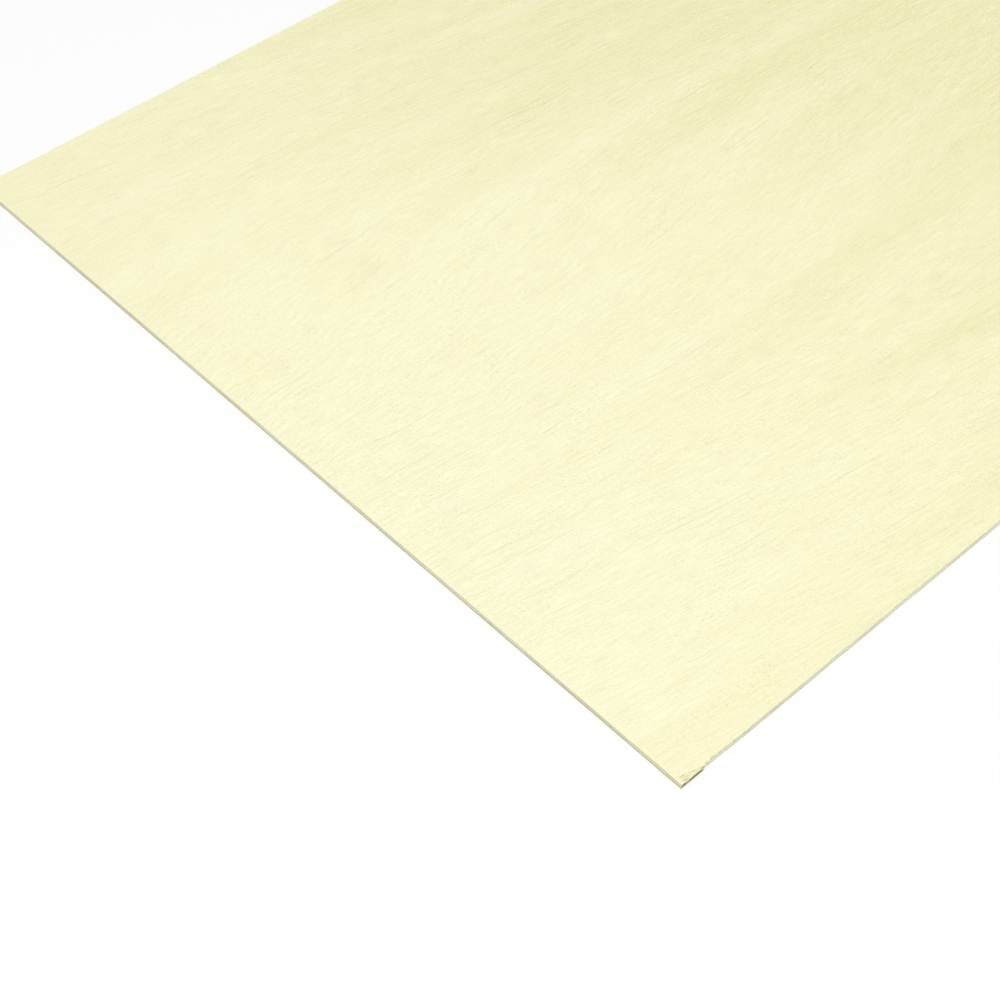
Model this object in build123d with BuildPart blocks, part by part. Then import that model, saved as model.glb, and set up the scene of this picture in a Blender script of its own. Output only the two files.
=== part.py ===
from build123d import *
import os

# A sheet of three ply wood, lying flat, in millimetres.
# The sheet is long in X, which is the grain of both outer plies, and the core's grain runs in Y.
# The origin is at the middle of the underside, and the damaged corner is at the low end of X and Y.

# Sheet
sheet_length = 1000.0
sheet_width = 500.0

# Plies
back_thickness = 0.8
core_thickness = 1.4
face_thickness = 0.8

# Split in the face ply, from a point inside the damaged corner out through the long edge
split_start_x = 2.3
split_start_y = 3.1
split_exit_x = 12.5
split_mouth = 1.1

# Short split, closer to the long edge, open to neither edge
hairline_start_x = 1.3
hairline_start_y = 1.1
hairline_length = 3.6
hairline_gap = 0.2

# Bays where the cut tore into the long edge of every ply: distance from the corner, depth and length
edge_bays = ((13.6, 0.45, 24.0), (89.5, 0.25, 14.0), (130.0, 0.2, 18.0))

# Slivers torn off the face ply's arris beyond the split: distance from the corner and depth
arris_slivers = ((14.6, 0.6), (17.6, 1.0), (22.0, 0.65), (26.0, 0.5), (30.6, 0.5), (36.5, 0.35))

# Gaps in the core ply's long edge, under the split corner: distance from the corner, length and depth
core_gaps = ((0.35, 2.6, 1.2), (4.4, 8.4, 0.8))

# Slant of the broken end of each bay and sliver
break_slant = 0.35

# How far a cutting outline runs out past the edge that it cuts
overrun = 1.0

# Glue lines and faces, from the underside up
core_bottom = back_thickness
core_top = core_bottom + core_thickness

# The damaged corner, and the slope at which the face grain runs out through the long edge
corner_x = -sheet_length / 2
corner_y = -sheet_width / 2
run_out_slope = split_start_y / (split_exit_x - split_start_x)

os.makedirs("parts", exist_ok=True)


def corner_plane(level):
    """A level plane with its origin at the damaged corner, X along the long edge."""
    return Plane(origin=(corner_x, corner_y, level))


def torn_wedges(level, wedges):
    """Wedges of waste on the long edge, each steep at its broken end and tapering away along the edge."""
    with BuildSketch(corner_plane(level)) as waste:
        for start, depth, length in wedges:
            with BuildLine():
                Polyline(
                    (start, -overrun),
                    (start, 0),
                    (start + break_slant, depth),
                    (start + length, 0),
                    (start + length, -overrun),
                    close=True,
                )
            make_face()
    return waste.sketch


# Back ply
with BuildPart() as back_veneer:
    with BuildSketch(Plane.XY):
        Rectangle(sheet_length, sheet_width)
    extrude(amount=back_thickness)
    extrude(torn_wedges(0, edge_bays), amount=back_thickness, mode=Mode.SUBTRACT)

back_veneer.part.label = "back_veneer"
export_step(back_veneer.part, "parts/back_veneer.step")


# Core ply, with the gaps where its edge has broken away under the split corner
with BuildPart() as core_veneer:
    with BuildSketch(Plane.XY.offset(core_bottom)):
        Rectangle(sheet_length, sheet_width)
    extrude(amount=core_thickness)
    extrude(torn_wedges(core_bottom, edge_bays), amount=core_thickness, mode=Mode.SUBTRACT)

    with BuildSketch(corner_plane(core_bottom)):
        for gap_start, gap_length, gap_depth in core_gaps:
            gap_end = gap_start + gap_length
            gap_middle = gap_start + gap_length / 2
            with BuildLine():
                Polyline((gap_start, 0), (gap_start, -overrun), (gap_end, -overrun), (gap_end, 0))
                ThreePointArc((gap_end, 0), (gap_middle, gap_depth), (gap_start, 0))
            make_face()
    extrude(amount=core_thickness, mode=Mode.SUBTRACT)

core_veneer.part.label = "core_veneer"
export_step(core_veneer.part, "parts/core_veneer.step")


# Face ply, with its splits and torn arris at the damaged corner
with BuildPart() as face_veneer:
    with BuildSketch(Plane.XY.offset(core_top)):
        Rectangle(sheet_length, sheet_width)
    extrude(amount=face_thickness)
    extrude(torn_wedges(core_top, edge_bays), amount=face_thickness, mode=Mode.SUBTRACT)

    # Each sliver tapers away along the grain
    slivers = [(start, depth, break_slant + depth / run_out_slope) for start, depth in arris_slivers]
    extrude(torn_wedges(core_top, slivers), amount=face_thickness, mode=Mode.SUBTRACT)

    # The long split is a wedge: a point at its start, and open where it leaves through the long edge
    past_edge = overrun / run_out_slope
    with BuildSketch(corner_plane(core_top)):
        with BuildLine():
            Polyline(
                (split_start_x, split_start_y),
                (split_exit_x + past_edge, -overrun),
                (split_exit_x + past_edge + split_mouth, -overrun),
                (split_exit_x + split_mouth, 0),
                close=True,
            )
        make_face()
    extrude(amount=face_thickness, mode=Mode.SUBTRACT)

    # The short split is pointed at both ends, and slants half as much as the long one
    hairline_plane = Plane(
        origin=(corner_x + hairline_start_x, corner_y + hairline_start_y, core_top),
        x_dir=(1, -run_out_slope / 2, 0),
    )
    with BuildSketch(hairline_plane):
        with BuildLine():
            Polyline(
                (0, 0),
                (hairline_length / 2, -hairline_gap / 2),
                (hairline_length, 0),
                (hairline_length / 2, hairline_gap / 2),
                close=True,
            )
        make_face()
    extrude(amount=face_thickness, mode=Mode.SUBTRACT)

face_veneer.part.label = "face_veneer"
export_step(face_veneer.part, "parts/face_veneer.step")
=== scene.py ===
"""A three ply plywood sheet: its finished plies, a floor, the lamps and the camera, in metres."""

import math
import random

import bpy
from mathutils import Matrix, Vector, kdtree, noise
from mathutils.geometry import delaunay_2d_cdt


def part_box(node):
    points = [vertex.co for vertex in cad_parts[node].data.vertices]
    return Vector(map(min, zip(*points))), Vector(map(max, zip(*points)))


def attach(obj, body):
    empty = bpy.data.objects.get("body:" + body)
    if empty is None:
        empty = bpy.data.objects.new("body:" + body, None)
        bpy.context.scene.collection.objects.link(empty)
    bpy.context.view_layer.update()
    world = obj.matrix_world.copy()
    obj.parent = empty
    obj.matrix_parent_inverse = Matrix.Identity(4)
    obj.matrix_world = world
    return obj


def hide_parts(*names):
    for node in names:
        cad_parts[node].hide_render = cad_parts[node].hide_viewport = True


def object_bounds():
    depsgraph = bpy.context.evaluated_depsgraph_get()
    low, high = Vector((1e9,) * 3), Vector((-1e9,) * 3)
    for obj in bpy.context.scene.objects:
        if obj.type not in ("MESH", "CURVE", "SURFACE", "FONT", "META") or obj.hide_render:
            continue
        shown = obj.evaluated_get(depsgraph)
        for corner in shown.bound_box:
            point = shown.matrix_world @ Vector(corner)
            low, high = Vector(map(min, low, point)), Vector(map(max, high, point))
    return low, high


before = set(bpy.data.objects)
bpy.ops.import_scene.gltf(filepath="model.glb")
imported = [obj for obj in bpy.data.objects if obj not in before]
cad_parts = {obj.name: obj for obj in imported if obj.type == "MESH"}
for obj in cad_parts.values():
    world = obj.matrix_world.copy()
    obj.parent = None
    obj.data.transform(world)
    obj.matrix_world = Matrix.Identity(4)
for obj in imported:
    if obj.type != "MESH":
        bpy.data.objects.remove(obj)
cad_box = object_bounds()
MM = 0.001

# The sheet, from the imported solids
sheet_low, sheet_high = cad_box
damaged_corner = Vector((sheet_low.x, sheet_low.y))
core_low, core_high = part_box("core_veneer")

# The photograph's camera, looking down by its pitch. Pixels are counted from the upper left corner of its
# frame, its azimuth from +Y towards +X, and the depth of the sheet's near upper corner along the view
frame_pixels = 1000.0
focal_pixels = 2001.0
corner_pixel = Vector((681.5, 785.0))
corner_depth = 0.7916
camera_pitch = math.radians(48.6)
camera_azimuth = math.radians(42.8)
sensor_width = 36.0

# The floor's half width, and the lamps: a wide soft box above and in front of the damaged corner, and an
# even surround
floor_reach = 4.0
box_place = Vector((-0.9, -0.85, 3.0))
box_width = 1.6
box_power = 45.4
surround_strength = 0.6

# How much of the floor's shading the camera sees as plain white, and the distances from the sheet's middle
# over which that share grows to all of it
shadow_softening = 0.5
far_floor = (0.6, 1.8)

# Heights closer than this are one level, and outline points alike to this many decimals are one point
level_tolerance = 0.01 * MM
point_decimals = 7

# Triangulation: a setting that keeps what lies inside the outline, and how close two points are joined
inside_only = 1
joining_distance = 1e-9

# Points along an edge: their spacing at the damaged corner, the most it grows to, and its growth per metre
fine_spacing = 0.3 * MM
coarse_spacing = 2.5 * MM
spacing_growth = 0.02

# Points inside a face: squares that halve towards the edges, down to this many edge spacings
largest_square = 62.5 * MM
smallest_share = 1.6

# The saw's marks: how deep they go, how many there are to a metre, how much of the outer arris is worn off,
# and the most that a point moves in, as a share of its distance to the end of its side
saw_depth = 0.12 * MM
saw_marks = 900.0
arris_wear = 0.1 * MM
corner_share = 0.1

# Heights in a ply, as shares of its thickness, at which its edge has a row of points
edge_rows = (0.0, 0.15, 0.5, 0.85, 1.0)
bottom_row = 0
top_row = len(edge_rows) - 1

# A ply's three materials, by number: on the sheet's own faces, on its sides, and where two plies meet
own_face = 0
sawn_side = 1
glued_face = 2

# Edges of a mesh that turn by more than this stay sharp
sharp_angle = math.radians(35)

# The long split, measured from the damaged corner: its ends and its mouth in the long edge. The splinter
# beside it is pressed in by this much at its tip
split_start = Vector((2.3, 3.1)) * MM
split_exit = Vector((12.5, 0.0)) * MM
split_mouth = 1.1 * MM
splinter_drop = 0.25 * MM

# The slope at which the grain runs out through the long edge, and where the edge goes on beyond the split
run_out_slope = split_start.y / (split_exit.x - split_start.x)
beyond_split = split_exit.x + split_mouth

# Beyond the split the long edge is sawn a little further in: by how much at the top, by what share of that
# at the bottom, where it starts, the length it grows over, and how far in the face still gives way
set_back = 0.3 * MM
set_back_lean = 0.5
set_back_start = 13.5 * MM
set_back_run = 0.5 * MM
set_back_reach = 5.0 * MM

# Torn fibres: where their rings are along them, the sides of each, how flat they are, and how far those in
# the slivers and in the core droop
fibre_stations = (0.15, 0.4, 0.7, 0.9)
fibre_sides = 5
fibre_flatness = 0.6
fibre_droop = 0.1 * MM

# Fibres in the long split: how many, where they start and how far they run as shares of its length, the
# furthest that they end, how far aside of its middle they lie at its mouth, and their depths and widths
split_fibres = 12
split_fibre_starts = (0.1, 0.8)
split_fibre_runs = (0.15, 0.4)
split_fibre_end = 0.97
split_fibre_sides = (-0.1 * MM, 0.4 * MM)
split_fibre_depths = (0.08 * MM, 0.4 * MM)
split_fibre_widths = (0.12 * MM, 0.28 * MM)

# Fibres in a torn sliver of the arris: how many, the depths of sliver that have them, and how far along the
# edge. Then their lengths, how far out of the sliver they start and how far out they lean as shares of the
# depth there, how far they are below the face, and their widths
sliver_fibres = 3
sliver_depths = (0.3 * MM, 1.2 * MM)
sliver_reach = 40 * MM
sliver_fibre_lengths = (0.8 * MM, 2.2 * MM)
sliver_fibre_starts = (0.1, 0.5)
sliver_fibre_lean = 0.5
sliver_fibre_levels = (0.15 * MM, 0.6 * MM)
sliver_fibre_widths = (0.1 * MM, 0.2 * MM)

# Stubs in the core's gaps: how many at each point, the depths of gap that have them, and how far they stay
# from the short edge. Then how far they stay from the glue, how far in they start, how far out they reach as
# a share of the depth there, and their widths
core_stubs = 2
gap_depths = (0.1 * MM, 1.3 * MM)
stub_clearance = 0.1 * MM
stub_margin = 0.2 * MM
stub_root = 0.2 * MM
stub_reaches = (0.2, 0.9)
stub_widths = (0.15 * MM, 0.4 * MM)

# The fibres' random draws, the same each time
chance = random.Random(7)


def outline_loops(node):
    """The outlines of a CAD ply's upper face, the outer one first, as points with the ply on their left."""
    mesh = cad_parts[node].data
    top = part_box(node)[1].z
    sides = set()
    for polygon in mesh.polygons:
        corners = [mesh.vertices[i].co for i in polygon.vertices]
        if all(abs(corner.z - top) < level_tolerance for corner in corners):
            keys = [tuple(round(part, point_decimals) for part in corner.xy) for corner in corners]
            sides.update(zip(keys, keys[1:] + keys[:1]))
    following = {start: end for start, end in sides if (end, start) not in sides}
    loops = []
    while following:
        start = min(following)
        loop = [Vector(start)]
        point = following.pop(start)
        while point != start:
            loop.append(Vector(point))
            point = following.pop(point)
        loops.append(loop)
    return loops


def spacing_at(point):
    """How far apart an edge's points are there: closest at the damaged corner."""
    return min(coarse_spacing, fine_spacing + spacing_growth * (point - damaged_corner).length)


def divided(loop):
    """The loop with more points on its sides, each with the way into the ply and the room to a corner."""
    points = []
    for start, end in zip(loop, loop[1:] + loop[:1]):
        side = end - start
        inward = Vector((-side.y, side.x)).normalized()
        points.append((start, inward, 0.0))
        along = spacing_at(start)
        while along < side.length - fine_spacing / 2:
            point = start + side.normalized() * along
            points.append((point, inward, min(along, side.length - along)))
            along += spacing_at(point)
    return points


def inner_points(loops):
    """Points inside a ply's outline, in the middles of squares that are smaller towards its edges."""
    outline = [point for loop in loops for point, inward, room in loop]
    tree = kdtree.KDTree(len(outline))
    for number, point in enumerate(outline):
        tree.insert(point.to_3d(), number)
    tree.balance()
    columns = round((sheet_high.x - sheet_low.x) / largest_square)
    rows = round((sheet_high.y - sheet_low.y) / largest_square)
    waiting = []
    for column in range(columns):
        for row in range(rows):
            middle = damaged_corner + Vector((column + 0.5, row + 0.5)) * largest_square
            waiting.append((middle, largest_square))
    points = []
    while waiting:
        middle, size = waiting.pop()
        room = tree.find(middle.to_3d())[2]
        if size > max(room, smallest_share * spacing_at(middle)):
            for quarter in ((-1, -1), (1, -1), (-1, 1), (1, 1)):
                waiting.append((middle + Vector(quarter) * size / 4, size / 2))
        elif room > size / 2:
            points.append(middle)
    return points


def inside(point, loop):
    """Whether a flat point lies within a closed loop of points."""
    crossings = 0
    for start, end in zip(loop, loop[1:] + loop[:1]):
        if (start.y > point.y) != (end.y > point.y):
            share = (point.y - start.y) / (end.y - start.y)
            crossings += point.x < start.x + share * (end.x - start.x)
    return crossings % 2 == 1


def cap_faces(vertices, rings, inner):
    """Triangles facing up that fill the first ring through the inner points, and leave the others open."""
    numbers = [number for ring in rings for number in ring] + inner
    flat = [Vector(vertices[number][:2]) for number in numbers]
    edges = []
    for ring in rings:
        first = len(edges)
        edges += [(first + k, first + (k + 1) % len(ring)) for k in range(len(ring))]
    holes = [[Vector(vertices[number][:2]) for number in ring] for ring in rings[1:]]
    filled = delaunay_2d_cdt(flat, edges, [], inside_only, joining_distance)
    points, triangles, origins = filled[0], filled[2], filled[3]
    faces = []
    for triangle in triangles:
        middle = sum((points[k] for k in triangle), Vector((0, 0))) / 3
        if not any(inside(middle, hole) for hole in holes):
            faces.append(tuple(numbers[origins[k][0]] for k in triangle))
    return faces


def splinter_sag(point):
    """How far the face is pressed down there: only beside the long split, most at the splinter's tip."""
    spot = point - damaged_corner
    share = (spot.x - split_start.x) / (split_exit.x - split_start.x)
    if not 0 < share < 1 or spot.y > split_start.lerp(split_exit, share).y:
        return 0.0
    return splinter_drop * share * share


def sawn_back(point, level):
    """The point at a level, moved in from the long edge: only near that edge, and beyond the split."""
    beyond = (point.x - sheet_low.x - set_back_start) / set_back_run
    nearness = 1 - (point.y - sheet_low.y) / set_back_reach
    lean = set_back_lean + (1 - set_back_lean) * level / sheet_high.z
    return Vector((point.x, point.y + set_back * lean * min(1, max(0, beyond)) * max(0, nearness), level))


def build_piece(name, vertices, faces, materials, choices=None):
    """A new object from points and faces, with each face's material number where there are several."""
    used = sorted({number for face in faces for number in face})
    renumbered = {number: k for k, number in enumerate(used)}
    mesh = bpy.data.meshes.new(name)
    places = [vertices[number] for number in used]
    mesh.from_pydata(places, [], [[renumbered[number] for number in face] for face in faces])
    mesh.shade_smooth()
    mesh.set_sharp_from_angle(angle=sharp_angle)
    for material in materials:
        mesh.materials.append(material)
    if choices:
        mesh.polygons.foreach_set("material_index", choices)
    piece = bpy.data.objects.new(name, mesh)
    bpy.context.scene.collection.objects.link(piece)
    return piece


def edge_points(low, high, loops, seed, worn_row, sagging):
    """A ply's edge as points, and the numbers of those points as rows of rings from the bottom up.

    The points are moved in by the saw's marks, by the wear of one row, and by the long edge's set-back.
    """
    vertices = []
    rows = []
    for row, share in enumerate(edge_rows):
        level = low.z + (high.z - low.z) * share
        wear = arris_wear if row == worn_row else 0.0
        rings = []
        for loop in loops:
            ring = []
            for point, inward, room in loop:
                place = Vector((point.x * saw_marks, point.y * saw_marks, seed + row))
                depth = saw_depth * abs(noise.noise(place)) + wear
                moved = point + inward * min(depth, corner_share * room)
                drop = splinter_sag(moved) * share if sagging else 0.0
                ring.append(len(vertices))
                vertices.append(sawn_back(moved, level - drop))
            rings.append(ring)
        rows.append(rings)
    return vertices, rows


def side_faces(rows):
    """The faces between each row of rings and the row above it."""
    faces = []
    for lower_rings, upper_rings in zip(rows, rows[1:]):
        for lower, upper in zip(lower_rings, upper_rings):
            for k in range(len(lower)):
                after = (k + 1) % len(lower)
                faces.append((lower[k], lower[after], upper[after], upper[k]))
    return faces


def ply_piece(name, node, materials, seed, worn_row=None, sagging=False):
    """A ply with sawn edges, for its CAD node: rows of points round its outlines, filled above and below."""
    low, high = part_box(node)
    loops = [divided(loop) for loop in outline_loops(node)]
    vertices, rows = edge_points(low, high, loops, seed, worn_row, sagging)
    faces = side_faces(rows)
    choices = [sawn_side] * len(faces)
    inner = inner_points(loops)
    for level, rings, upward in ((low.z, rows[0], False), (high.z, rows[-1], True)):
        first = len(vertices)
        for point in inner:
            drop = splinter_sag(point) if sagging and upward else 0.0
            vertices.append(sawn_back(point, level - drop))
        cap = cap_faces(vertices, rings, list(range(first, len(vertices))))
        faces += cap if upward else [tuple(reversed(triangle)) for triangle in cap]
        outside = min(abs(level - sheet_low.z), abs(level - sheet_high.z)) < level_tolerance
        choices += [own_face if outside else glued_face] * len(cap)
    piece = build_piece(name, vertices, faces, materials, choices)
    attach(piece, "root")
    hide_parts(node)


def add_fibre(vertices, faces, start, end, width):
    """Adds a fibre's points and faces: a bent spindle, pointed at both ends."""
    along = end - start
    side = along.cross(Vector((0, 0, 1))).normalized()
    up = side.cross(along).normalized()
    bend = side * width * chance.uniform(-1, 1)
    first = len(vertices)
    vertices.append(start)
    for share in fibre_stations:
        swell = math.sin(math.pi * share)
        middle = start + along * share + bend * swell
        for number in range(fibre_sides):
            angle = 2 * math.pi * number / fibre_sides
            out = side * math.cos(angle) + up * math.sin(angle) * fibre_flatness
            vertices.append(middle + out * swell * width / 2)
    last = len(vertices)
    vertices.append(end)
    for number in range(fibre_sides):
        after = (number + 1) % fibre_sides
        faces.append((first, first + 1 + after, first + 1 + number))
        for ring in range(first + 1, last - fibre_sides, fibre_sides):
            above = ring + fibre_sides
            faces.append((ring + number, ring + after, above + after, above + number))
        faces.append((last - fibre_sides + number, last - fibre_sides + after, last))


def fibre_piece(name, fibres, material):
    """One piece of many thin fibres, each given as a start, an end and a width."""
    vertices = []
    faces = []
    for start, end, width in fibres:
        add_fibre(vertices, faces, start, end, width)
    piece = build_piece(name, vertices, faces, [material])
    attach(piece, "root")


def split_fibre_list():
    """Fibres lying lengthwise in the long split, under the face."""
    fibres = []
    for number in range(split_fibres):
        begin = chance.uniform(*split_fibre_starts)
        finish = min(split_fibre_end, begin + chance.uniform(*split_fibre_runs))
        sideways = chance.uniform(*split_fibre_sides)
        ends = []
        for share in (begin, finish):
            place = split_start.lerp(split_exit, share) + damaged_corner
            level = sheet_high.z - chance.uniform(*split_fibre_depths)
            ends.append(Vector((place.x + share * (split_mouth / 2 + sideways), place.y, level)))
        fibres.append((ends[0], ends[1], chance.uniform(*split_fibre_widths)))
    return fibres


def sliver_fibre_list():
    """Fibres left in the torn slivers of the long arris, from each broken end along the grain."""
    fibres = []
    for point in outline_loops("face_veneer")[0]:
        inset = point.y - sheet_low.y
        reach = point.x - sheet_low.x
        if sliver_depths[0] < inset < sliver_depths[1] and beyond_split < reach < sliver_reach:
            for number in range(sliver_fibres):
                length = chance.uniform(*sliver_fibre_lengths)
                level = sheet_high.z - chance.uniform(*sliver_fibre_levels)
                start = Vector((point.x, point.y - inset * chance.uniform(*sliver_fibre_starts), level))
                lean = sliver_fibre_lean * (start.y - sheet_low.y)
                end = start + Vector((length, -lean, -fibre_droop))
                ends = [sawn_back(start, start.z), sawn_back(end, end.z)]
                fibres.append((ends[0], ends[1], chance.uniform(*sliver_fibre_widths)))
    return fibres


def core_fibre_list():
    """Stubs of the core's crossways fibres, in the gaps where its edge has broken away."""
    fibres = []
    for point, inward, room in divided(outline_loops("core_veneer")[0]):
        inset = point.y - sheet_low.y
        reach = point.x - sheet_low.x
        if gap_depths[0] < inset < gap_depths[1] and stub_clearance < reach < beyond_split:
            for number in range(core_stubs):
                level = chance.uniform(core_low.z + stub_margin, core_high.z - stub_margin)
                outer = point.y - inset * chance.uniform(*stub_reaches)
                start = Vector((point.x, point.y + stub_root, level))
                end = Vector((point.x, outer, level - fibre_droop))
                fibres.append((start, end, chance.uniform(*stub_widths)))
    return fibres


class Nodes:
    """Short ways to add shader nodes to one node tree."""

    def __init__(self, tree):
        self.tree = tree

    def put(self, socket, value):
        """Links another node's output to a socket, or sets the socket to a constant."""
        if isinstance(value, bpy.types.NodeSocket):
            self.tree.links.new(value, socket)
        else:
            socket.default_value = value

    def node(self, kind, sockets, **settings):
        """A new node with its settings and its sockets set."""
        made = self.tree.nodes.new("ShaderNode" + kind)
        for setting, value in settings.items():
            setattr(made, setting, value)
        for socket, value in sockets.items():
            self.put(made.inputs[socket], value)
        return made

    def math(self, operation, first, second=0.0):
        """One arithmetic step."""
        return self.node("Math", {0: first, 1: second}, operation=operation).outputs[0]

    def total(self, *values):
        """The sum of several values."""
        result = values[0]
        for value in values[1:]:
            result = self.math("ADD", result, value)
        return result

    def product(self, *values):
        """The product of several values."""
        result = values[0]
        for value in values[1:]:
            result = self.math("MULTIPLY", result, value)
        return result

    def wave(self, x, y, turns, start):
        """A slow wave between -1 and 1, by the radians it turns per metre along X and Y, and its start."""
        turn = self.total(self.product(x, turns[0]), self.product(y, turns[1]), start)
        return self.math("SINE", turn)

    def step(self, value, low, high):
        """A smooth rise from 0 at the low value to 1 at the high one, or a fall where high is below low."""
        sockets = {"Value": value, "From Min": low, "From Max": high}
        return self.node("MapRange", sockets, interpolation_type="SMOOTHSTEP").outputs[0]

    def spot(self):
        """The object's own coordinates, and the way that its surface faces there."""
        where = self.node("TexCoord", {})
        return where.outputs["Object"], where.outputs["Normal"]

    def parts(self, vector):
        """The three parts of a vector."""
        return self.node("SeparateXYZ", {0: vector}).outputs

    def vector(self, x, y, z):
        """A vector from three values."""
        return self.node("CombineXYZ", {0: x, 1: y, 2: z}).outputs[0]

    def stretch(self, place, scale):
        """A place with its own scale along X and Y, and its Z as it is."""
        return self.node("VectorMath", {0: place, 1: (*scale, 1)}, operation="MULTIPLY").outputs[0]

    def noise(self, place, scale, detail=1):
        """Cloudy noise about 0, mostly within a quarter either way, with its own scale along X and Y."""
        sockets = {"Vector": self.stretch(place, scale), "Scale": 1.0, "Detail": detail}
        return self.math("SUBTRACT", self.node("TexNoise", sockets).outputs[0], 0.5)

    def strokes(self, place, scale, core, rim):
        """Separate strokes of uneven strength, up to 1 in their middles and 0 beyond their rims."""
        sockets = {"Vector": self.stretch(place, scale), "Scale": 1.0}
        cells = self.node("TexVoronoi", sockets, voronoi_dimensions="2D")
        strength = self.parts(cells.outputs["Color"])[0]
        return self.product(self.step(cells.outputs["Distance"], rim, core), strength)

    def mix(self, share, first, second):
        """A colour between two others."""
        mixer = self.node("Mix", {}, data_type="RGBA")
        factor, a, b = [socket for socket in mixer.inputs if socket.enabled]
        for socket, value in ((factor, share), (a, first), (b, second)):
            self.put(socket, value)
        return [socket for socket in mixer.outputs if socket.enabled][0]

    def dim(self, colour, amount):
        """A colour with a share of its light taken away."""
        left = self.math("SUBTRACT", 1.0, amount)
        return self.node("VectorMath", {0: colour, "Scale": left}, operation="SCALE").outputs[0]

    def seen(self):
        """1 for what the camera sees, straight or in a shiny or clear thing, and 0 for other light."""
        path = self.node("LightPath", {})
        result = path.outputs["Is Camera Ray"]
        for ray in ("Is Glossy Ray", "Is Transmission Ray"):
            result = self.math("MAXIMUM", result, path.outputs[ray])
        return result


class Paint(Nodes):
    """The nodes of one new material, around its main shader."""

    def __init__(self, name):
        self.material = bpy.data.materials.new(name)
        self.material.use_nodes = True
        super().__init__(self.material.node_tree)
        self.shader = self.tree.nodes["Principled BSDF"]

    def finish(self, colour, roughness, height, depth):
        """Sets the shader's colour, roughness and bump, with the depth that a height of 1 stands for."""
        self.put(self.shader.inputs["Base Color"], colour)
        self.put(self.shader.inputs["Roughness"], roughness)
        self.put(self.shader.inputs["Specular IOR Level"], wood_shine)
        bump = self.node("Bump", {"Height": height, "Strength": 1.0, "Distance": depth})
        self.put(self.shader.inputs["Normal"], bump.outputs[0])
        return self.material


# Wood colours, as they show in plain light, and how much the wood shines
pale_face = (0.985, 0.968, 0.685, 1)
deep_face = (0.91, 0.865, 0.515, 1)
pale_back = (0.90, 0.86, 0.60, 1)
deep_back = (0.84, 0.78, 0.50, 1)
pale_outer_edge = (0.76, 0.75, 0.58, 1)
deep_outer_edge = (0.70, 0.68, 0.49, 1)
pale_core_edge = (0.87, 0.86, 0.67, 1)
deep_core_edge = (0.80, 0.78, 0.56, 1)
# Glued wood, darkened by glue and further by painted shade for the gaps where it shows
pale_glued_and_shade = (0.52, 0.48, 0.30, 1)
deep_glued_and_shade = (0.38, 0.35, 0.20, 1)
pale_torn = (0.96, 0.92, 0.65, 1)
deep_torn = (0.86, 0.80, 0.48, 1)
torn_strip = (0.82, 0.765, 0.39, 1)
# Painted yellow bounce light for the short edges
short_edge_bounce_light = (0.82, 0.74, 0.36, 1)
# Stain with painted shade, for the long edge at the split
split_stain_and_shade = (0.34, 0.31, 0.18, 1)
white = (1, 1, 1, 1)
wood_shine = 0.25

# In the materials a scale is a noise's waves to a metre, along the grain and across it, or along an edge and
# up it. Turns are radians per metre, along the long edge and the short one. Other pairs are limits, with
# nothing of an effect at the first and all of it at the second

# The bends of a face's grain, in metres across it: a slow wave, a lean of the whole, a wander, a wobble
grain_turns = (4.4, 13.5)
grain_start = 1.86
grain_height = 0.033
grain_lean = -0.08
wander_scale = (18, 35)
wander_height = 0.008
wobble_scale = (200, 350)
wobble_height = 0.0019

# A face's tone, from 0 for its pale colour to 1 for its deep one: its middle, and what is added by one slow
# wave, near the long edge and far from it
middle_tone = 0.54
tone_turns = (6.5, -0.8)
tone_start = -1.57
tone_height = 0.36
near_side = (0.06, 0.0)
near_side_tone = 0.2
far_side = (0.2, 0.5)
far_side_tone = 0.25

# What a face's bands, clouds and streaks add to its tone. The bands are stronger away from the short edge
band_scale = (2.5, 40)
band_tone = 0.6
far_bands = (0.1, 0.3)
far_band_tone = 1.1
cloud_scale = (25, 45)
cloud_tone = 0.3
streak_scale = (60, 330)
streak_tone = 0.33

# The patches of a face in which its grain is more open
patch_scale = (22, 70)
patch_span = (-0.12, 0.14)

# The light that a face's marks take away: short pores, whose cores and rims are in shares of a cell, fibres,
# fine grains and long lines. Pores and grains take more in the patches. The grains' noise has a lower limit,
# so that they hardly brighten the face
pore_scale = (210, 1200)
pore_core = 0.05
pore_rim = 0.36
pore_mark = 0.045
patch_pore_mark = 0.04
fibre_scale = (80, 1100)
fibre_mark = 0.17
grain_scale = (700, 1450)
grain_limit = -0.06
grain_mark = 0.2
patch_grain_mark = 0.12
line_scale = (14, 800)
line_span = (0.18, 0.32)
line_mark = 0.09

# How strong all the marks are: their middle strength, and one slow wave
middle_strength = 0.8
strength_turns = (8.4, 13.6)
strength_start = -0.52
strength_height = 0.22

# A face's roughness, what its fibres add to that, the least that a pore's strength counts in its depth, and
# the depth that a height of 1 stands for
face_roughness = 0.62
fibre_roughness = 0.25
least_pore_depth = 0.3
face_relief = 0.05 * MM

# Yellow strips beside the long split, by place along the long edge and by where the grain there runs out
# through the short edge
strip_scale = (90, 1000)
strip_span = (-0.1, 0.07)
strip_start = (0.4 * split_start.x, 1.2 * split_start.x)
strip_end = (1.05 * split_exit.x, 0.9 * split_exit.x)
strip_side = (1.25 * run_out_slope * split_exit.x, run_out_slope * split_exit.x)

# Yellow patches on the torn arris beyond the split, and how yellow they are beside the strips
arris_scale = (180, 300)
arris_span = (-0.08, 0.1)
arris_start = (split_exit.x, beyond_split)
arris_end = (sliver_reach, 0.7 * sliver_reach)
arris_side = (2.0 * MM, 0.3 * MM)
arris_share = 0.6

# An edge is a short one where its normal leans further than this along X
short_edge_normal = 0.5

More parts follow.
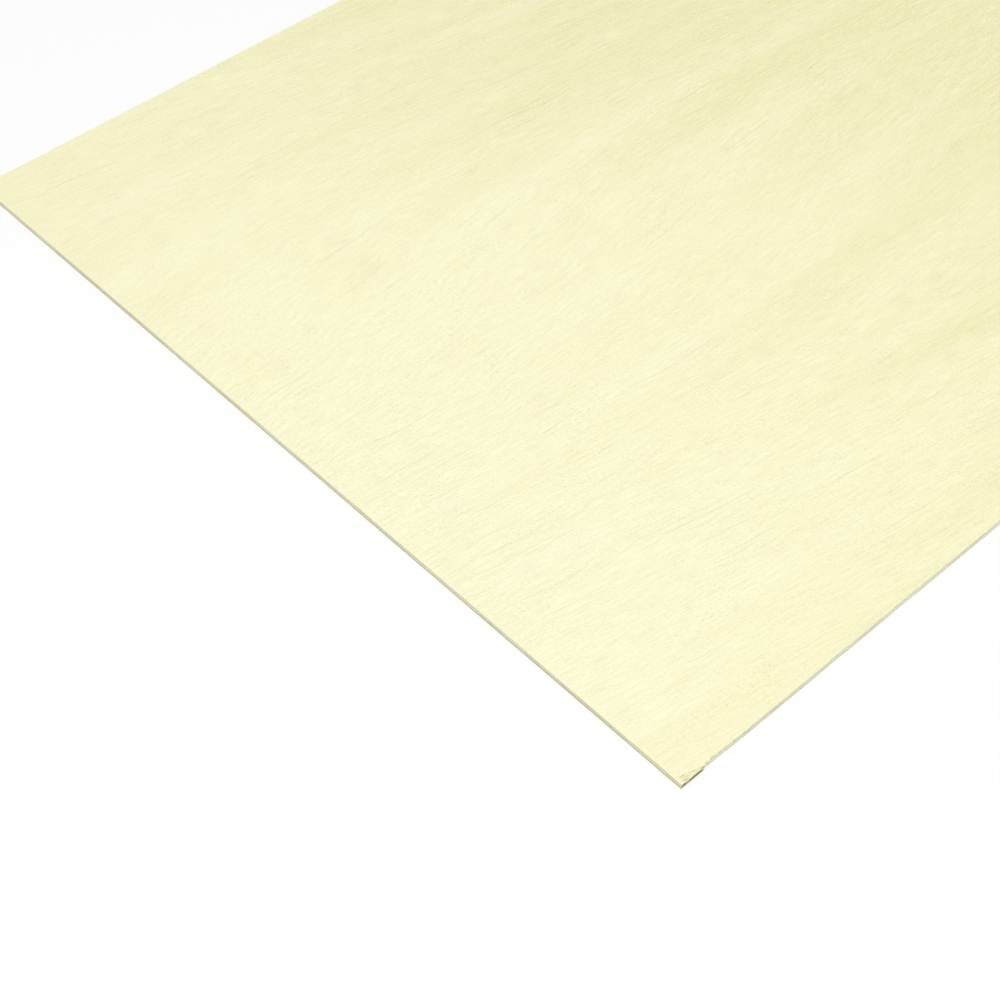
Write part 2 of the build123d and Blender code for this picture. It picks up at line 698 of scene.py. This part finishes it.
# An edge's tone: its middle, and what its streaks and blotches add. A short edge is also a little warmer,
# with painted yellow light as if bounced up from a sheet below
edge_tone = 0.5
edge_streak_scale = (160, 5200)
edge_streak_tone = 0.8
blotch_scale = (55, 300)
blotch_tone = 1.2
short_edge_bounce_share = 0.2

# The light taken away from an edge by its streaks or dots, saw marks, blotches and glue lines, and painted
# shade: towards the bottom of the back ply, with some of that ply's own darker colour, and below the face
# ply of a short edge
dot_scale = (2400, 2800)
texture_mark = 0.5
saw_scale = (1700, 90)
saw_mark = 0.2
blotch_mark = 0.25
glue_span = (0.1 * MM, 0.03 * MM)
glue_mark = 0.16
back_ply_painted_shade = 0.22
short_edge_painted_shade = 0.13

# An edge's roughness, the height of its saw marks beside its streaks and dots, and the depth of its bump
edge_roughness = 0.8
saw_height = 0.6
edge_relief = 0.08 * MM

# The stain with painted shade, and the torn wood, of the long edge at the split: where they end, how much
# the blotches move that, and how far in they go. Then where the face ply and the back ply start, the
# strength of stain and shade in the core, what those two plies add to it, and how much the dots vary it. The
# shade is painted deepest low down, under the overhanging face ply
torn_end = (13.5 * MM, 11.5 * MM)
torn_wander = 6 * MM
torn_side = (4 * MM, 0.5 * MM)
in_face_ply = (core_high.z - 0.1 * MM, core_high.z + 0.1 * MM)
in_back_ply = (core_low.z + 0.5 * MM, core_low.z)
core_stain_and_shade = 0.55
face_ply_stain_and_shade = -0.45
back_ply_stain_and_shade = 0.4
dot_stain_and_shade = 0.8


def from_edges(paint):
    """How far a place is from the short edge and from the long edge that meet at the damaged corner."""
    place = paint.parts(paint.spot()[0])
    return paint.math("SUBTRACT", place[0], sheet_low.x), paint.math("SUBTRACT", place[1], sheet_low.y)


def grain_place(paint, along, across, seed):
    """A face's place as (along the grain, across it), with the grain's bends straightened out."""
    wave = paint.product(paint.wave(along, across, grain_turns, grain_start + seed), grain_height)
    flat = paint.vector(along, across, seed)
    wander = paint.product(paint.noise(flat, wander_scale), wander_height)
    wobble = paint.product(paint.noise(flat, wobble_scale), wobble_height)
    bends = paint.total(wave, paint.product(along, grain_lean), wander, wobble)
    return paint.vector(along, paint.math("SUBTRACT", across, bends), seed)


def face_tone(paint, place, from_corner, from_side):
    """How deep a face's colour is: slow changes over the sheet, and bands, clouds and streaks."""
    bands = paint.noise(place, band_scale, detail=3)
    clouds = paint.noise(place, cloud_scale, detail=2)
    streaks = paint.noise(place, streak_scale, detail=2)
    far_band = paint.product(paint.step(from_corner, *far_bands), far_band_tone)
    return paint.total(
        middle_tone,
        paint.product(paint.wave(from_corner, from_side, tone_turns, tone_start), tone_height),
        paint.product(paint.step(from_side, *near_side), near_side_tone),
        paint.product(paint.step(from_side, *far_side), far_side_tone),
        paint.product(bands, paint.total(band_tone, far_band)),
        paint.product(clouds, cloud_tone),
        paint.product(streaks, streak_tone),
    )


def face_marks(paint, place, patches, pores, fibres):
    """The light that a face's marks take away, before their slow change in strength."""
    grains = paint.math("MAXIMUM", paint.noise(place, grain_scale, detail=0), grain_limit)
    lines = paint.step(paint.noise(place, line_scale, detail=0), *line_span)
    return paint.total(
        paint.product(pores, paint.total(paint.product(patches, patch_pore_mark), pore_mark)),
        paint.product(fibres, fibre_mark),
        paint.product(grains, paint.total(grain_mark, paint.product(patches, patch_grain_mark))),
        paint.product(lines, line_mark),
    )


def torn_share(paint, from_corner, from_side, seed):
    """How yellow a torn face is: in strips beside the long split, and in patches on the arris beyond it."""
    run_out = paint.total(from_side, paint.product(from_corner, run_out_slope))
    strips = paint.noise(paint.vector(from_corner, run_out, seed), strip_scale)
    beside_split = paint.product(
        paint.step(run_out, *strip_side),
        paint.step(from_corner, *strip_start),
        paint.step(from_corner, *strip_end),
        paint.step(strips, *strip_span),
    )
    patches = paint.noise(paint.vector(from_corner, from_side, seed), arris_scale)
    on_arris = paint.product(
        paint.step(from_side, *arris_side),
        paint.step(from_corner, *arris_end),
        paint.step(from_corner, *arris_start),
        paint.step(patches, *arris_span),
    )
    return paint.math("MAXIMUM", beside_split, paint.product(on_arris, arris_share))


def face_material(name, pale, deep, seed, torn=False):
    """Rotary-cut veneer, with soft bands and short strokes along its waving grain, and a few long lines."""
    paint = Paint(name)
    from_corner, from_side = from_edges(paint)
    place = grain_place(paint, from_corner, from_side, seed)
    patches = paint.step(paint.noise(place, patch_scale), *patch_span)
    pores = paint.strokes(place, pore_scale, pore_core, pore_rim)
    fibres = paint.noise(place, fibre_scale, detail=0)
    colour = paint.mix(face_tone(paint, place, from_corner, from_side), pale, deep)
    if torn:
        colour = paint.mix(torn_share(paint, from_corner, from_side, seed), colour, torn_strip)
    wave = paint.wave(from_corner, from_side, strength_turns, strength_start)
    strength = paint.total(middle_strength, paint.product(wave, strength_height))
    marks = paint.product(face_marks(paint, place, patches, pores, fibres), strength)
    roughness = paint.total(face_roughness, paint.product(fibres, fibre_roughness))
    height = paint.math("SUBTRACT", fibres, paint.product(pores, paint.total(patches, least_pore_depth)))
    return paint.finish(paint.dim(colour, marks), roughness, height, face_relief)


def edge_marks(paint, z, short_side, texture, saw, blotches):
    """The light that an edge's marks take away, with painted shade low on the back ply and on the short
    sides.
    """
    from_glue = paint.math(
        "MINIMUM",
        paint.math("ABSOLUTE", paint.math("SUBTRACT", z, core_low.z)),
        paint.math("ABSOLUTE", paint.math("SUBTRACT", z, core_high.z)),
    )
    return paint.total(
        paint.product(texture, texture_mark),
        paint.product(saw, saw_mark),
        paint.product(blotches, blotch_mark),
        paint.product(paint.step(from_glue, *glue_span), glue_mark),
        # Painted shade: towards the bottom of the back ply, and below the face ply of a short edge
        paint.product(paint.step(z, core_low.z, sheet_low.z), back_ply_painted_shade),
        paint.product(short_side, paint.step(z, core_high.z, core_low.z), short_edge_painted_shade),
    )


def at_split(paint, long_side, blotches):
    """The part of the long edge that is torn, stained and painted with shade, from the damaged corner to the
    split's mouth.
    """
    from_corner, from_side = from_edges(paint)
    ragged = paint.total(from_corner, paint.product(blotches, torn_wander))
    return paint.product(paint.step(ragged, *torn_end), paint.step(from_side, *torn_side), long_side)


def edge_material(name, pale, deep, seed, long_sides_show_ends=False):
    """A ply's sawn edge, with streaks where it runs along the grain, dots where it cuts it, and glue lines.

    At the split its long side is torn above the core, and stained with painted shade that deepens towards
    the bottom.
    """
    paint = Paint(name)
    place, normal = paint.spot()
    x, y, z = paint.parts(place)
    lean = paint.math("ABSOLUTE", paint.parts(normal)[0])
    short_side = paint.math("GREATER_THAN", lean, short_edge_normal)
    long_side = paint.math("SUBTRACT", 1.0, short_side)
    along, across = (short_side, long_side) if long_sides_show_ends else (long_side, short_side)
    around = paint.vector(paint.total(x, y), z, seed)
    streaks = paint.noise(around, edge_streak_scale, detail=2)
    dots = paint.noise(around, dot_scale, detail=2)
    saw = paint.noise(around, saw_scale)
    blotches = paint.noise(around, blotch_scale)
    texture = paint.total(paint.product(along, streaks), paint.product(across, dots))
    tone = paint.total(
        edge_tone,
        paint.product(streaks, edge_streak_tone),
        paint.product(blotches, blotch_tone),
    )
    # Painted yellow bounce light on the short sides, as if from a sheet below
    painted_bounce = paint.product(short_side, short_edge_bounce_share)
    colour = paint.mix(painted_bounce, paint.mix(tone, pale, deep), short_edge_bounce_light)
    torn = at_split(paint, long_side, blotches)
    above_core = paint.step(z, *in_face_ply)
    # Stain and painted shade at the split: faint in the face ply, deeper in the core, deepest in the back
    # ply
    stain_and_shade = paint.total(
        core_stain_and_shade,
        paint.product(above_core, face_ply_stain_and_shade),
        paint.product(paint.step(z, *in_back_ply), back_ply_stain_and_shade),
        paint.product(dots, dot_stain_and_shade),
    )
    colour = paint.mix(paint.product(torn, above_core), colour, pale_torn)
    marks = edge_marks(paint, z, short_side, texture, saw, blotches)
    colour = paint.mix(paint.product(torn, stain_and_shade), paint.dim(colour, marks), split_stain_and_shade)
    height = paint.total(texture, paint.product(saw, saw_height))
    return paint.finish(colour, edge_roughness, height, edge_relief)


def add_floor():
    """A white floor, which the camera sees part lit near the sheet, for its shadow, and plain far off."""
    corners = [Vector((x, y, 0)) * floor_reach for x, y in ((-1, -1), (1, -1), (1, 1), (-1, 1))]
    paint = Paint("floor_paint")
    paint.put(paint.shader.inputs["Base Color"], white)
    paint.put(paint.shader.inputs["Roughness"], 1.0)
    paint.put(paint.shader.inputs["Specular IOR Level"], 0.0)
    plain = paint.node("Emission", {"Color": white, "Strength": 1.0})
    distance = paint.node("VectorMath", {0: paint.spot()[0]}, operation="LENGTH").outputs["Value"]
    growth = paint.product(paint.step(distance, *far_floor), 1 - shadow_softening)
    softening = paint.total(shadow_softening, growth)
    sockets = {0: paint.product(paint.seen(), softening), 1: paint.shader.outputs[0], 2: plain.outputs[0]}
    mixed = paint.node("MixShader", sockets)
    paint.put(paint.tree.nodes["Material Output"].inputs["Surface"], mixed.outputs[0])
    floor = build_piece("floor", corners, [(0, 1, 2, 3)], [paint.material])


def add_camera():
    """The photograph's camera, set so that the sheet's near upper corner falls on its own pixel."""
    data = bpy.data.cameras.new("camera")
    data.sensor_width = sensor_width
    data.lens = sensor_width * focal_pixels / frame_pixels
    camera = bpy.data.objects.new("camera", data)
    bpy.context.scene.collection.objects.link(camera)
    bpy.context.scene.camera = camera
    level = Vector((math.sin(camera_azimuth), math.cos(camera_azimuth), 0))
    forward = level * math.cos(camera_pitch) - Vector((0, 0, math.sin(camera_pitch)))
    right = forward.cross(Vector((0, 0, 1))).normalized()
    up = right.cross(forward)
    across, down = (corner_pixel - Vector((frame_pixels, frame_pixels)) / 2) / focal_pixels
    corner = Vector((sheet_low.x, sheet_low.y, sheet_high.z))
    camera.location = corner - corner_depth * (forward + right * across - up * down)
    camera.rotation_euler = forward.to_track_quat("-Z", "Y").to_euler()


def add_soft_box():
    """A wide square lamp that shines straight down."""
    data = bpy.data.lights.new("soft_box", "AREA")
    data.size = box_width
    data.energy = box_power
    lamp = bpy.data.objects.new("soft_box", data)
    lamp.location = box_place
    bpy.context.scene.collection.objects.link(lamp)


def add_surround():
    """An even surround that lights the sheet from all sides, and that the camera sees as plain white."""
    world = bpy.data.worlds.new("surround")
    world.use_nodes = True
    sky = Nodes(world.node_tree)
    light = sky.tree.nodes["Background"]
    sky.put(light.inputs["Color"], white)
    sky.put(light.inputs["Strength"], surround_strength)
    plain = sky.node("Background", {"Color": white, "Strength": 1.0})
    mixed = sky.node("MixShader", {0: sky.seen(), 1: light.outputs[0], 2: plain.outputs[0]})
    sky.put(sky.tree.nodes["World Output"].inputs["Surface"], mixed.outputs[0])
    bpy.context.scene.world = world


edge_grain = edge_material("outer_edge", pale_outer_edge, deep_outer_edge, seed=4.1)
core_grain = edge_material("core_edge", pale_core_edge, deep_core_edge, seed=9.3, long_sides_show_ends=True)
face_grain = face_material("face_grain", pale_face, deep_face, seed=0.0, torn=True)
back_grain = face_material("back_grain", pale_back, deep_back, seed=5.7)
# The glued colours hold painted shade for the gaps and splits where the inner faces and the core's stubs
# show
glued_and_shaded_grain = face_material("glued_and_shaded_grain", pale_glued_and_shade, deep_glued_and_shade, seed=2.9)
torn_grain = face_material("torn_grain", pale_torn, deep_torn, seed=8.2)
face_paints = [face_grain, edge_grain, glued_and_shaded_grain]
core_paints = [glued_and_shaded_grain, core_grain, glued_and_shaded_grain]
back_paints = [back_grain, edge_grain, glued_and_shaded_grain]
ply_piece("face_ply", "face_veneer", face_paints, seed=11.3, worn_row=top_row, sagging=True)
ply_piece("core_ply", "core_veneer", core_paints, seed=37.7)
ply_piece("back_ply", "back_veneer", back_paints, seed=61.9, worn_row=bottom_row)
fibre_piece("torn_face_fibres", split_fibre_list() + sliver_fibre_list(), torn_grain)
fibre_piece("torn_core_fibres", core_fibre_list(), glued_and_shaded_grain)
add_floor()
add_camera()
add_soft_box()
add_surround()
bpy.context.scene.view_settings.view_transform = "Standard"
